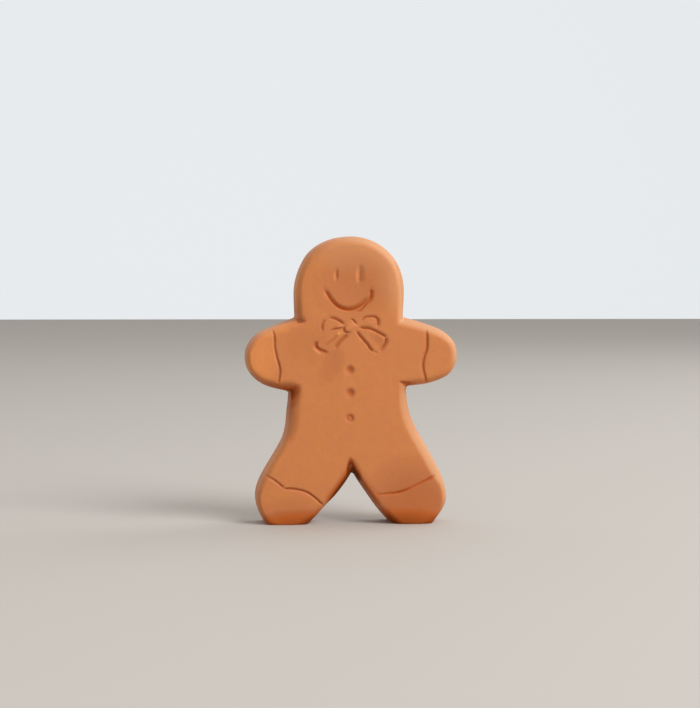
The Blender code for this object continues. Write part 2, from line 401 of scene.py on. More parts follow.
@dataclass(frozen=True)
class FiredClay:
    """The finish: matt orange-brown clay with faint mottling and a fine grain.

    Colours are linear. The face colour drifts between a pinker and a more ochre tone, with
    fine speckles of the deep tone.

    The mesh has two values at each vertex. "pressed" is -1 in painted light, where the clay
    is palest, 0 where it is plain, 0.5 for flushed tones and light painted shade, 1 in a
    pressed line, whose darker colour is painted shade, and 2 in painted shadow.
    "painted_highlight" is the share of a whitish painted highlight on edges that face up
    and to the right. Each range is of "pressed", and says where a change of the clay
    starts and is complete.
    """

    face: Colour = (0.60, 0.212, 0.067)
    pink: Colour = (0.58, 0.192, 0.077)
    ochre: Colour = (0.61, 0.230, 0.061)
    # A flushed tone of the clay, which is also painted shade on the feet, the soles and the armpit.
    flush_and_shade: Colour = (0.49, 0.160, 0.056)
    # The deep tone of the speckles, which is also painted shade in the pressed lines, on the feet and
    # on the soles.
    deep: Colour = (0.465, 0.098, 0.010)
    # Painted shadow, darkest in the crotch, the fork of the legs and under the soles.
    painted_shadow: Colour = (0.17, 0.030, 0.004)
    # Painted light: paler where a wall, lip, crumb or edge catches the light.
    pale: Colour = (0.76, 0.275, 0.075)
    # A whitish painted highlight on edges that face the light.
    highlight_colour: Colour = (0.56, 0.292, 0.145)
    drift: Grain = Grain(170.0, 3.0, span=(0.38, 0.62))
    patches: Grain = Grain(420.0, 4.0, span=(0.40, 0.66))
    tone_shares: Span = (0.25, 0.6)
    speckle: Grain = Grain(2600.0, 3.0, 0.7, (0.30, 0.75))
    speckle_share: float = 0.13
    flush_and_shade_range: Span = (0.0, 0.5)
    deep_range: Span = (0.4, 1.0)
    deep_share: float = 0.8
    painted_shadow_range: Span = (1.0, 2.0)
    pale_range: Span = (0.0, -1.0)
    sheen: Span = (0.05, 0.0)
    fading_range: Span = (0.0, 1.0)
    sheen_roughness: float = 0.45
    specular: Span = (0.35, 0.08)
    dulling_range: Span = (0.0, 1.6)
    polish: Grain = Grain(900.0, 3.0, span=(0.3, 0.7))
    roughness: Span = (0.57, 0.69)
    fine: Grain = Grain(3800.0, 4.0, 0.65)
    fine_bump: float = 0.28
    fine_height: float = 0.00008
    broad: Grain = Grain(700.0, 3.0)
    broad_bump: float = 0.3
    broad_height: float = 0.00022

    def mottled(self, bench: NodeBench) -> Socket:
        """The colour of plain clay.

        Args:
            bench: The material's nodes.

        Returns:
            The socket of the colour.
        """
        drift = bench.grain(self.drift)
        drifting = bench.mix(drift, self.pink, self.face)
        tone = bench.mix(bench.grain(self.patches), drifting, self.ochre)
        softened = bench.mix(bench.remap(drift, (0.0, 1.0), self.tone_shares), self.face, tone)
        speckle = bench.grain(self.speckle, (0.0, self.speckle_share))
        return bench.mix(speckle, softened, self.deep)

    def colour(self, bench: NodeBench, pressed: Socket) -> Socket:
        """The clay's colour, from the painted light over the plain to the painted shadow.

        Args:
            bench: The material's nodes.
            pressed: The socket of the mesh's value for it.

        Returns:
            The socket of the colour.
        """
        # Flushed tones, and the first of the painted shade on the feet, the soles and the armpit.
        flushed_and_shaded = bench.mix(bench.remap(pressed, self.flush_and_shade_range), self.mottled(bench), self.flush_and_shade)
        # The darker colour of the pressed lines is painted shade.
        deepening = bench.remap(pressed, self.deep_range, (0.0, self.deep_share))
        lined = bench.mix(deepening, flushed_and_shaded, self.deep)
        # Painted shadow where the value passes 1.
        with_painted_shadow = bench.mix(bench.remap(pressed, self.painted_shadow_range), lined, self.painted_shadow)
        # Paler painted light where the value falls below 0.
        with_painted_light = bench.mix(bench.remap(pressed, self.pale_range), with_painted_shadow, self.pale)
        # The whitish painted highlight on the edges that face the light.
        return bench.mix(bench.tone("painted_highlight"), with_painted_light, self.highlight_colour)

    def material(self) -> bpy.types.Material:
        """Builds the material, from object coordinates and the mesh's own values.

        Returns:
            The material.
        """
        clay = bpy.data.materials.new("fired_clay")
        bench = NodeBench(clay)
        shader = bench.nodes["Principled BSDF"]
        shader.inputs["Metallic"].default_value = 0.0
        shader.inputs["Sheen Roughness"].default_value = self.sheen_roughness
        pressed = bench.tone("pressed")
        fine = bench.bump(bench.noise(self.fine), self.fine_bump, self.fine_height)
        broad = bench.bump(bench.noise(self.broad), self.broad_bump, self.broad_height)
        bench.links.new(fine.outputs["Normal"], broad.inputs["Normal"])
        sockets = {
            "Base Color": self.colour(bench, pressed),
            "Specular IOR Level": bench.remap(pressed, self.dulling_range, self.specular),
            "Sheen Weight": bench.remap(pressed, self.fading_range, self.sheen),
            "Roughness": bench.grain(self.polish, self.roughness),
            "Normal": broad.outputs["Normal"],
        }
        for name, socket in sockets.items():
            bench.links.new(socket, shader.inputs[name])
        return clay


# The widest outline, down the right side, into the fork of the legs and up the left.
# The soles are cut level at z = 0 later.
OUTLINE_RIGHT = (
    Key(0.0, 76.0, 0),
    Key(11.4, 70.5, -52),
    Key(14.3, 61.1, -90),
    Key(14.0, 54.45, -90, -14),
    Key(22.0, 52.05, -20),
    Key(26.85, 49.05, -48),
    Key(28.35, 44.4, -90),
    Key(26.3, 39.3, -134),
    Key(21.45, 36.85, -161),
    Key(14.9, 35.8, -169, -89),
    Key(15.9, 28.8, -73),
    Key(19.1, 22.1, -58),
    Key(23.4, 14.2, -62),
    Key(25.6, 7.0, -90),
    Key(22.5, 0.5, -126),
    Key(16.9, -3.2, 180),
    Key(10.9, -1.0, 137),
    Key(5.55, 5.2, 124),
)

OUTLINE_CROTCH = Key(0.25, 13.2, 120, -119)

OUTLINE_LEFT = (
    Key(-5.5, 5.6, -135),
    Key(-11.6, -0.8, -138),
    Key(-17.3, -3.2, 180),
    Key(-23.4, 0.1, 122),
    Key(-25.7, 7.0, 90),
    Key(-23.0, 14.4, 60),
    Key(-19.0, 21.2, 62),
    Key(-17.3, 28.2, 86),
    Key(-16.7, 34.55, 88, 165),
    Key(-22.75, 36.2, 157),
    Key(-27.15, 39.75, 124),
    Key(-28.35, 44.4, 90),
    Key(-26.4, 48.9, 50),
    Key(-21.2, 52.0, 23),
    Key(-15.1, 54.4, 21, 92),
    Key(-15.3, 60.7, 90),
    Key(-12.7, 69.75, 60),
)

# A pressed line has its keys, its depth, the reach of its left and right walls, and the
# share of the depth at each key.
FACE = (
    PressedLine(
        "left_eye",
        (Key(-4.1, 67.3), Key(-4.25, 63.9)),
        0.36, 0.7, 1.1, (0.9, 0.9), fade=1.3, painted_shade=0.3,
    ),
    PressedLine(
        "right_eye",
        (Key(2.0, 68.6), Key(1.9, 66.0), Key(1.8, 63.1)),
        0.40, 1.7, 1.1, (0.4, 1.0, 0.9), fade=1.3, painted_shade=0.15,
    ),
    PressedLine(
        "smile",
        (
            Key(-7.5, 61.9),
            Key(-6.7, 60.4),
            Key(-5.4, 58.5),
            Key(-3.9, 57.15),
            Key(-2.5, 56.55),
            Key(-1.1, 56.35),
            Key(0.5, 56.65),
            Key(2.3, 57.65),
            Key(3.3, 58.6),
            Key(4.2, 59.7),
        ),
        0.66, 1.3, 0.36, (0.55, 0.8, 0.9, 1.0, 1.0, 0.95, 0.85, 0.65, 0.5, 0.4), fade=1.6,
    ),
    PressedLine(
        "smile_corner",
        (Key(0.7, 55.9), Key(2.0, 56.3), Key(3.1, 57.5), Key(4.0, 58.6), Key(4.6, 59.9)),
        0.44, 0.5, 0.5, (0.3, 0.7, 0.9, 1.0, 0.8),
    ),
    PressedLine(
        "smile_end",
        (Key(3.4, 58.0), Key(4.6, 59.7), Key(4.75, 62.0)),
        0.58, 0.6, 1.15, (0.3, 1.0, 0.8),
    ),
)

# Two loops, two tails and the lines around the knot.
BOW = (
    PressedLine(
        "loop_left_top",
        (Key(-6.4, 54.2), Key(-4.8, 54.0), Key(-3.6, 53.4), Key(-2.2, 52.5)),
        0.48, 0.95, 0.28, (0.5, 0.9, 1.0, 0.9),
    ),
    PressedLine(
        "loop_left_end",
        (Key(-6.8, 54.0), Key(-7.6, 53.3), Key(-8.0, 52.1), Key(-7.9, 50.8)),
        0.36, 0.55, 0.8, (0.35, 0.7, 1.0, 1.0),
    ),
    PressedLine(
        "loop_left_under",
        (Key(-6.3, 50.9), Key(-4.9, 51.3), Key(-2.3, 51.75)),
        0.3, 0.55, 0.35, (0.3, 1.0, 1.0),
    ),
    PressedLine("tail_left_top", (Key(-4.1, 49.4), Key(-7.5, 46.9)), 0.14, 0.6, 0.6, (1.0, 0.7)),
    PressedLine(
        "tail_left_end",
        (Key(-9.2, 48.4), Key(-9.6, 47.1), Key(-8.8, 46.1), Key(-6.4, 45.2)),
        0.56, 0.75, 1.0, (0.4, 1.0, 1.0, 0.6),
    ),
    PressedLine(
        "tail_left_under",
        (Key(-1.2, 50.1), Key(-2.7, 48.8), Key(-4.1, 47.3), Key(-4.7, 46.0)),
        0.4, 0.9, 0.85, (0.9, 1.0, 0.9, 0.5),
    ),
    PressedLine(
        "loop_right",
        (
            Key(2.2, 53.2),
            Key(3.2, 54.3),
            Key(4.6, 54.55),
            Key(5.9, 54.4),
            Key(6.5, 53.8),
            Key(6.7, 52.9),
        ),
        0.46, 0.75, 0.35, (0.3, 0.7, 0.8, 1.0, 1.0, 0.8),
    ),
    PressedLine(
        "loop_right_end",
        (Key(5.9, 54.4), Key(6.45, 53.7), Key(6.45, 51.9)),
        0.52, 1.1, 0.5, (0.4, 1.0, 0.7),
    ),
    PressedLine(
        "loop_right_under",
        (
            Key(1.5, 51.75),
            Key(3.0, 51.5),
            Key(4.3, 51.4),
            Key(5.6, 50.9),
            Key(6.9, 50.2),
            Key(8.9, 49.1),
        ),
        0.54, 0.95, 0.27, (0.7, 1.0, 1.0, 1.0, 1.0, 1.0),
    ),
    PressedLine(
        "tail_right_end",
        (Key(8.7, 49.3), Key(8.45, 47.9), Key(7.9, 46.8), Key(6.8, 45.5)),
        0.52, 1.15, 0.4, (1.0, 1.0, 0.8, 0.3),
    ),
    PressedLine(
        "tail_right_under",
        (
            Key(0.9, 51.0),
            Key(1.4, 50.0),
            Key(2.5, 48.7),
            Key(3.8, 47.2),
            Key(4.6, 46.0),
            Key(5.6, 45.35),
        ),
        0.58, 0.98, 0.28, (0.5, 0.9, 1.0, 1.0, 1.0, 0.5),
    ),
    PressedLine("tail_right_corner", (Key(5.0, 45.6), Key(6.9, 45.1)), 0.2, 0.6, 0.5, (1.0, 0.6)),
    PressedLine(
        "knot_top",
        (Key(-0.8, 54.0), Key(0.1, 53.7), Key(0.5, 53.2), Key(1.2, 52.6)),
        0.36, 0.55, 0.35,
    ),
    PressedLine(
        "knot_under",
        (Key(-2.1, 52.2), Key(-2.35, 51.1), Key(-1.6, 50.5), Key(-0.5, 50.5)),
        0.4, 0.45, 0.5, (0.9, 1.0, 1.0, 0.4),
    ),
)

# The cuffs of the mittens and of the boots.
CUFFS = (
    PressedLine(
        "left_mitten",
        (
            Key(-21.1, 51.4),
            Key(-20.5, 49.4),
            Key(-20.4, 46.8),
            Key(-19.9, 44.2),
            Key(-19.1, 41.2),
            Key(-19.1, 39.7),
            Key(-19.5, 37.0),
        ),
        0.48, 0.55, 0.6, (0.6, 0.9, 1.0, 1.0, 1.0, 0.9, 0.7),
    ),
    PressedLine(
        "right_mitten",
        (
            Key(19.4, 51.4),
            Key(19.6, 48.8),
            Key(19.5, 46.0),
            Key(18.9, 44.3),
            Key(18.5, 42.1),
            Key(18.7, 40.3),
            Key(19.5, 37.2),
        ),
        0.5, 0.6, 0.8, (0.4, 1.0, 1.0, 0.8, 0.9, 0.8, 0.8),
    ),
    PressedLine(
        "left_boot",
        (Key(-23.0, 13.2), Key(-20.2, 11.6), Key(-18.0, 9.7)),
        0.46, 0.48, 0.65, (0.5, 0.9, 1.0),
    ),
    PressedLine(
        "left_boot_toe",
        (Key(-18.3, 9.55), Key(-15.6, 9.5), Key(-12.3, 8.7), Key(-10.0, 7.2), Key(-7.7, 5.0)),
        0.5, 0.5, 0.55, (0.9, 1.0, 1.0, 1.0, 0.9),
    ),
    PressedLine(
        "right_boot",
        (
            Key(6.2, 7.8),
            Key(10.2, 8.1),
            Key(12.2, 8.4),
            Key(13.8, 8.9),
            Key(15.4, 9.6),
            Key(17.8, 10.7),
            Key(19.8, 11.7),
            Key(22.0, 12.9),
        ),
        0.42, 0.65, 0.55, (0.2, 0.7, 1.0, 0.9, 0.45, 0.5, 0.8, 0.8),
    ),
)

# Soft creases where the head and an arm join the body, with painted shade in them.
FOLDS = (
    PressedLine(
        "neck_left",
        (Key(-11.9, 53.4), Key(-13.8, 53.2), Key(-15.3, 53.5)),
        0.5, 0.35, 2.0, (0.3, 1.0, 0.8), painted_shade=0.6,
    ),
    PressedLine(
        "armpit_right",
        (Key(12.0, 37.7), Key(13.5, 37.4), Key(15.6, 37.2)),
        0.5, 0.35, 1.6, (0.3, 1.0, 0.6), painted_shade=0.7,
    ),
)

# A round mark has its middle, its half width and half height, and its depth.
BUTTONS = (
    RoundMark("button_top", -0.75, 40.7, 1.5, 1.5, 0.5, Mark.DENT),
    RoundMark("button_middle", -0.65, 34.65, 1.55, 1.6, 0.52, Mark.DENT),
    RoundMark("button_bottom", -0.7, 28.05, 1.4, 1.4, 0.55, Mark.DENT),
    RoundMark("button_bottom_core", -0.8, 27.95, 0.75, 0.75, 0.3, Mark.LUMP),
)

# What stands proud: the knot, swells of the bow and crumbs of clay.
LUMPS = (
    RoundMark("knot", -0.55, 51.85, 1.8, 1.45, 0.28, Mark.LUMP, turn=12.0, sharpness=1.1),
    RoundMark("knot_fold", -1.45, 51.5, 0.7, 0.55, 0.22, Mark.LUMP, turn=20.0),
    RoundMark("knot_side", 0.9, 52.1, 0.7, 0.55, 0.12, Mark.LUMP),
    RoundMark("crumb_by_bow", -3.75, 50.1, 0.95, 0.6, 0.3, Mark.LUMP, turn=45.0),
    RoundMark("loop_ridge", -3.6, 52.05, 1.6, 0.65, 0.2, Mark.LUMP, turn=8.0),
    RoundMark("loop_swell", 4.4, 52.9, 1.9, 1.1, 0.14, Mark.LUMP),
    RoundMark("chest_ridge", -2.7, 38.9, 3.8, 0.9, 0.12, Mark.LUMP, turn=60.0),
    RoundMark("shoulder_crumb", -15.7, 52.0, 1.3, 0.35, 0.16, Mark.LUMP, turn=-6.0),
    RoundMark("hand_crumb", 22.8, 49.1, 0.6, 0.4, 0.16, Mark.LUMP, turn=20.0),
)

# Broad shallow hollows of the front.
HOLLOWS = (
    RoundMark("face_hollow", 0.3, 62.3, 9.5, 8.5, 0.32, Mark.DENT, sharpness=1.5),
    RoundMark("brow_slope", 13.0, 69.0, 9.0, 9.0, 0.12, Mark.DENT, sharpness=1.5),
    RoundMark("cheek_slope", 14.8, 64.0, 6.0, 11.0, 0.42, Mark.DENT),
    RoundMark("smear", -5.8, 41.2, 6.0, 2.8, 0.15, Mark.DENT, turn=57.0, sharpness=1.5),
    RoundMark("fork_hollow", -0.45, 13.4, 1.1, 4.2, 0.35, Mark.DENT, sharpness=1.3),
    RoundMark("tail_right_hollow", 6.2, 48.2, 3.0, 1.6, 0.16, Mark.DENT, turn=-45.0, sharpness=1.5),
)

# Where the front's colour is deeper, or paler for a lump. Some are darker tones of the
# clay, those on the feet, the armpit, the soles and the fork are painted shade, and the
# paler lumps are painted light. Its shape doesn't change.
TINTS_AND_PAINTED_SHADING = (
    # Darker in the middle of the face, on the smear, on the chest and inside a tail of the bow.
    RoundMark("face_middle_darker", 0.3, 62.3, 11.5, 9.5, 0.34, Mark.DENT, sharpness=0.7),
    RoundMark("smear_blush", -5.6, 41.4, 6.0, 3.0, 0.3, Mark.DENT, turn=57.0, sharpness=0.7),
    RoundMark("left_chest_blush", -10.5, 47.5, 8.0, 6.5, 0.2, Mark.DENT, sharpness=0.7),
    RoundMark("tail_right_darker", 6.3, 48.2, 3.0, 1.8, 0.25, Mark.DENT, turn=-45.0, sharpness=0.7),
    # Painted shade: the feet, the armpit, the soles and the fork of the legs.
    RoundMark("right_foot_painted_shade", 16.0, 4.0, 15.0, 15.0, 0.6, Mark.DENT, sharpness=0.8),
    RoundMark("left_foot_painted_shade", -16.0, 0.0, 11.0, 8.0, 0.4, Mark.DENT, sharpness=0.8),
    RoundMark("armpit_left_corner", -15.4, 34.9, 3.2, 1.5, 0.7, Mark.DENT, turn=46.0, sharpness=0.6),
    RoundMark("armpit_left_painted_shade", -16.3, 34.0, 2.7, 3.6, 0.6, Mark.DENT, turn=-6.0, sharpness=0.6),
    RoundMark("left_sole_painted_shade", -17.0, -1.5, 12.0, 6.0, 0.3, Mark.DENT, sharpness=0.8),
    RoundMark("right_sole_painted_shade", 17.0, -1.5, 12.0, 6.0, 0.35, Mark.DENT, sharpness=0.8),
    RoundMark("soles_painted_shade", 0.0, -1.5, 32.0, 6.5, 0.85, Mark.DENT, sharpness=0.8),
    RoundMark("fork_painted_shade", -0.45, 13.4, 1.3, 4.6, 3.0, Mark.DENT, sharpness=0.7),
    # Painted light: a paler hand, and highlights on a crumb, the knot, the eyes' walls and two lips.
    RoundMark("left_hand_pale", -24.0, 44.0, 5.0, 8.0, 0.65, Mark.LUMP, sharpness=0.7),
    RoundMark("crumb_pale", -3.75, 50.1, 1.0, 0.65, 1.3, Mark.LUMP, turn=45.0),
    RoundMark("knot_pale", -1.45, 51.55, 0.7, 0.55, 0.8, Mark.LUMP, turn=20.0),
    RoundMark("left_eye_pale", -4.7, 65.3, 0.45, 1.8, 0.7, Mark.LUMP),
    RoundMark("right_eye_pale", 1.15, 65.6, 0.75, 2.5, 0.6, Mark.LUMP),
    RoundMark("smile_lip", -7.1, 60.2, 1.6, 0.5, 0.5, Mark.LUMP, turn=-58.0),
    RoundMark("tail_lip", -9.2, 45.5, 2.2, 0.65, 0.6, Mark.LUMP, turn=-42.0),
)

# Painted shade near the outline, in corners, in the crotch and under the arms and soles, or painted
# light for a lump. Its shape doesn't change.
CREVICES = (
    RoundMark("crotch_shade", 0.2, 10.0, 8.5, 9.0, 1.0, Mark.DENT, sharpness=0.6),
    RoundMark("left_leg_shade", -2.4, 10.5, 6.5, 4.0, 2.4, Mark.DENT, turn=53.0, sharpness=0.6),
    RoundMark("neck_left_shade", -14.5, 55.0, 3.5, 5.0, 0.6, Mark.DENT, sharpness=0.6),
    RoundMark("armpit_left_shade", -16.0, 33.5, 5.0, 7.0, 0.5, Mark.DENT, sharpness=0.6),
    RoundMark("armpit_right_shade", 14.5, 36.5, 3.0, 2.5, 0.6, Mark.DENT, sharpness=0.6),
    # Painted light on the head's left edge, a leg's edge and the top of an arm.
    RoundMark("head_left_pale", -15.0, 65.5, 6.0, 12.0, 0.6, Mark.LUMP, sharpness=0.6),
    RoundMark("left_leg_pale", -20.5, 18.0, 5.0, 8.0, 0.45, Mark.LUMP, sharpness=0.6),
    RoundMark("right_torso_shade", 16.0, 29.0, 4.0, 8.5, 0.3, Mark.DENT, sharpness=0.6),
    RoundMark("left_arm_shade", -22.0, 36.5, 7.0, 3.5, 0.9, Mark.DENT, turn=-20.0, sharpness=0.6),
    RoundMark("left_arm_top", -20.0, 53.0, 8.0, 4.0, 0.8, Mark.LUMP, sharpness=0.6),
    RoundMark("soles_shade", 0.0, -1.0, 30.0, 5.0, 0.9, Mark.DENT, sharpness=0.6),
)

# Painted highlight on the front besides its edges. Its shape doesn't change.
HIGHLIGHT_PATCHES = (
    RoundMark("forehead_highlight", 1.0, 73.0, 14.0, 7.5, 0.32, Mark.DENT, sharpness=0.8),
    RoundMark("cheek_highlight", 14.5, 65.5, 9.0, 11.5, 0.42, Mark.DENT, sharpness=0.9),
)

# Where the front's rounding is wider, or narrower for a lump.
EDGES = (
    RoundMark("left_hand_edge", -28.0, 44.0, 8.5, 9.5, 0.9, Mark.LUMP, sharpness=0.8),
    RoundMark("left_torso_edge", -16.5, 30.0, 5.0, 9.0, 1.7, Mark.DENT, sharpness=0.8),
    RoundMark("crotch_edge", 0.2, 7.5, 9.5, 11.5, 0.9, Mark.LUMP, sharpness=0.5),
    RoundMark("armpit_left_edge", -15.6, 35.8, 3.6, 3.6, 1.2, Mark.DENT, sharpness=0.8),
    RoundMark("right_torso_edge", 15.5, 29.5, 5.0, 8.0, 1.1, Mark.DENT, sharpness=0.8),
    RoundMark("right_leg_edge", 21.0, 19.0, 6.0, 8.5, 1.2, Mark.DENT, turn=28.0, sharpness=0.8),
    RoundMark("head_left_edge", -15.0, 64.5, 5.5, 13.0, 0.55, Mark.LUMP, sharpness=0.6),
    RoundMark("left_leg_edge", -20.5, 18.5, 5.0, 7.5, 0.5, Mark.LUMP, sharpness=0.8),
    RoundMark("left_foot_edge", -25.0, 5.5, 6.0, 8.5, 0.8, Mark.LUMP, sharpness=0.8),
    RoundMark("right_foot_edge", 25.0, 6.0, 5.0, 7.0, 0.35, Mark.LUMP, sharpness=0.8),
)


def new_mesh_object(name: str, bm: bmesh.types.BMesh) -> bpy.types.Object:
    """Turns a bmesh into a linked object at the origin.

    Args:
        name: The name of the object and its mesh.
        bm: The bmesh, which is freed.

    Returns:
        The object.
    """
    mesh = bpy.data.meshes.new(name)
    bm.to_mesh(mesh)
    bm.free()
    item = bpy.data.objects.new(name, mesh)
    bpy.context.scene.collection.objects.link(item)
    return item


@dataclass
class ClayFigure:
    """The pressed slab in the shape of the figure, with its fine surface.

    A span says where a soft change starts and ends. Those of facing measure how far the
    surface faces the front, from -1 at the back to 1, and the one of the painted highlight
    how far it faces the light.
    """

    name: str = "terracotta_figure"
    front_y: float = -5.2
    back_y: float = 5.5
    outline_step: float = 0.6
    back_rounding: float = 0.7
    widest_band: float = 0.6
    side_lean: float = 0.5
    round_width: float = 2.1
    round_depth: float = 3.0
    round_steps: int = 8
    cut_tolerance: float = 1e-5
    voxel: float = 0.4
    spread_passes: int = 3
    soften_passes: int = 1
    line_margin: float = 0.25
    line_cuts: int = 2
    head_drop: float = 0.4
    head_reach: float = 5.2
    head_rise: Span = (50.0, 57.0)
    waviness: float = 0.09
    wave_size: float = 9.0
    ripple: float = 0.035
    ripple_size: float = 2.6
    clearance: float = 0.004
    sole_band: float = 0.1
    gap_step: float = 0.1
    front_facing: Span = (0.05, 0.55)
    crevice_facing: Span = (-0.5, -0.1)
    crevice_reach: float = 3.4
    line_shade_sharpness: float = 0.6
    tone_limits: Span = (-1.0, 2.0)
    highlight_facing: Span = (-0.05, 0.15)
    highlight_share: float = 0.75
    highlight_span: Span = (0.1, 0.6)
    light_across: float = 0.8
    light_up: float = 0.6

    def outline(self, step: float) -> list[Vector]:
        """The figure's widest outline, clockwise from the top of the head.

        Args:
            step: The distance between points.

        Returns:
            The points, in the plane of the front.
        """
        keys = OUTLINE_RIGHT + (OUTLINE_CROTCH,) + OUTLINE_LEFT
        points: list[Vector] = []
        for start, end in zip(keys, keys[1:] + keys[:1]):
            points += stretch(start, end, step)
        return points

    def step_in(
        self, bm: bmesh.types.BMesh, face: bmesh.types.BMFace, inset: float, rise: float
    ) -> None:
        """Moves a face out, and its rim in, with a band of wall behind it.

        Args:
            bm: The slab.
            face: The front or the back face.
            inset: How far the rim moves in.
            rise: How far the face moves out.
        """
        bmesh.ops.inset_region(
            bm, faces=[face], thickness=inset, depth=rise, use_boundary=True, use_even_offset=True
        )

    def turn_over(
        self, bm: bmesh.types.BMesh, face: bmesh.types.BMFace, width: float, depth: float
    ) -> None:
        """Turns the side over into a face, along a quarter of an ellipse.

        Args:
            bm: The slab.
            face: The front or the back face.
            width: How far the rounding reaches in from the side.
            depth: How far it reaches down the side.
        """
        angles = [math.pi / 2 * step / self.round_steps for step in range(self.round_steps + 1)]
        for low, high in zip(angles, angles[1:]):
            inset = width * (math.cos(low) - math.cos(high))
            self.step_in(bm, face, inset, depth * (math.sin(high) - math.sin(low)))

    def slab(self) -> bpy.types.Object:
        """Makes the plain slab: its widest band, built out to the back and the front.

        Returns:
            The slab's object, with its soles cut level.
        """
        bm = bmesh.new()
        widest = self.back_y - self.back_rounding - self.widest_band
        outline = self.outline(self.outline_step)
        front = bm.faces.new([bm.verts.new((point.x, widest, point.y)) for point in outline])
        band = bmesh.ops.extrude_face_region(bm, geom=[front], use_keep_orig=True)
        moved = [item for item in band["geom"] if isinstance(item, bmesh.types.BMVert)]
        back = next(item for item in band["geom"] if isinstance(item, bmesh.types.BMFace))
        bmesh.ops.translate(bm, verts=moved, vec=(0, self.widest_band, 0))
        bmesh.ops.recalc_face_normals(bm, faces=bm.faces)
        self.turn_over(bm, back, self.back_rounding, self.back_rounding)
        self.step_in(bm, front, self.side_lean, widest - self.round_depth - self.front_y)
        self.turn_over(bm, front, self.round_width, self.round_depth)
        cut = bmesh.ops.bisect_plane(
            bm,
            geom=bm.verts[:] + bm.edges[:] + bm.faces[:],
            dist=self.cut_tolerance,
            plane_co=(0, 0, 0),
            plane_no=(0, 0, 1),
            clear_inner=True,
        )
        rim = [item for item in cut["geom_cut"] if isinstance(item, bmesh.types.BMEdge)]
        bmesh.ops.holes_fill(bm, edges=rim, sides=0)
        bmesh.ops.recalc_face_normals(bm, faces=bm.faces)
        return new_mesh_object(self.name, bm)

    def even_skin(self, slab: bpy.types.Object) -> bmesh.types.BMesh:
        """Gives the slab an even skin of small faces that keeps its corners.

        Args:
            slab: The plain slab, which is used up.

        Returns:
            The skin as a bmesh.
        """
        plain = bmesh.new()
        plain.from_mesh(slab.data)
        shape = BVHTree.FromBMesh(plain)
        plain.free()
        remesh = slab.modifiers.new("even_skin", "REMESH")
        remesh.mode = "VOXEL"
        remesh.voxel_size = self.voxel
        graph = bpy.context.evaluated_depsgraph_get()
        mesh = bpy.data.meshes.new_from_object(slab.evaluated_get(graph))
        bm = bmesh.new()
        bm.from_mesh(mesh)
        bpy.data.objects.remove(slab)
        bpy.data.meshes.remove(mesh)
        self.soften(bm, self.spread_passes)
        for vert in bm.verts:
            vert.co = shape.find_nearest(vert.co)[0]
        self.soften(bm, self.soften_passes)
        return bm

    def soften(self, bm: bmesh.types.BMesh, passes: int) -> None:
        """Moves every vertex half of the way to the middle of its neighbours.

        Args:
            bm: The skin.
            passes: How many times this is done.
        """
        for _ in range(passes):
            bmesh.ops.smooth_vert(
                bm, verts=bm.verts, factor=0.5, use_axis_x=True, use_axis_y=True, use_axis_z=True
            )

    def refine_near_lines(self, bm: bmesh.types.BMesh) -> None:
        """Splits the front's faces along the pressed lines, so that the lines come out crisp.

        Args:
            bm: The skin, which gets more faces.
        """
        margin = self.line_margin
        marks = [
            replace(line, left=line.left + margin, right=line.right + margin)
            for line in FACE + BOW + CUFFS + FOLDS
        ]
        for _ in range(self.line_cuts):
            bm.verts.index_update()
            spots = np.array([(vert.co.x, vert.co.z) for vert in bm.verts])
            close = np.zeros(len(spots), bool)
            for mark in (*marks, *BUTTONS):
                close |= mark.press(spots) != 0
            edges = [
                edge
                for edge in bm.edges
                if all(close[vert.index] and vert.co.y < 0 for vert in edge.verts)
            ]
            bmesh.ops.subdivide_edges(bm, edges=edges, cuts=1, use_grid_fill=True)
        many_sided = [face for face in bm.faces if len(face.verts) > 4]
        bmesh.ops.triangulate(bm, faces=many_sided)

    def edge_gap(self, spots: np.ndarray) -> np.ndarray:
        """Measures how far each spot is from the figure's outline.

        Args:
            spots: The x and z of each vertex.

        Returns:
            A distance for each.
        """
        outline = self.outline(self.gap_step)
        tree = KDTree(len(outline))
        for index, point in enumerate(outline):
            tree.insert(point, index)
        tree.balance()
        return np.array([tree.find((x, z, 0.0))[2] for x, z in spots])

    def edge_fall(self, gaps: np.ndarray, width: float | np.ndarray) -> np.ndarray:
        """How far behind the front the rounded edge is, at gaps from the outline, for its width."""
        inward = np.clip((gaps - self.side_lean) / width, 0.0, 1.0)
        return self.round_depth * (1 - np.sqrt(1 - (1 - inward) ** 2))

    def vary_edges(self, bm: bmesh.types.BMesh) -> None:
        """Makes the front's rounding wider or narrower along parts of the edge.

        Args:
            bm: The skin, whose vertices are moved.
        """
        spots = np.array([(vert.co.x, vert.co.z) for vert in bm.verts])
        gaps = self.edge_gap(spots)
        widths = self.round_width + sum(mark.press(spots) for mark in EDGES)
        change = self.edge_fall(gaps, widths) - self.edge_fall(gaps, self.round_width)
        for vert, shift in zip(bm.verts, change):
            if vert.co.y < self.front_y + self.round_depth:
                vert.co.y += shift

    def head_fall(self, spots: np.ndarray, gaps: np.ndarray) -> np.ndarray:
        """How far the front falls away to the head's edge, which is rounder than the rest."""
        inward = np.clip(1 - gaps / self.head_reach, 0.0, 1.0)
        return self.head_drop * inward ** 2 * soft_step(spots[:, 1], self.head_rise)

    def unevenness(self, places: np.ndarray) -> np.ndarray:
        """The slight waviness of hand-pressed clay.

        Args:
            places: The place of each vertex.

        Returns:
            A depth for each, always inwards.
        """
        depths = np.empty(len(places))
        for index, place in enumerate(places):
            wave = noise.noise(Vector(place) / self.wave_size)
            ripple = noise.noise(Vector(place) / self.ripple_size)
            depths[index] = self.waviness * (0.5 + 0.5 * wave) + self.ripple * (0.5 + 0.5 * ripple)
        return depths

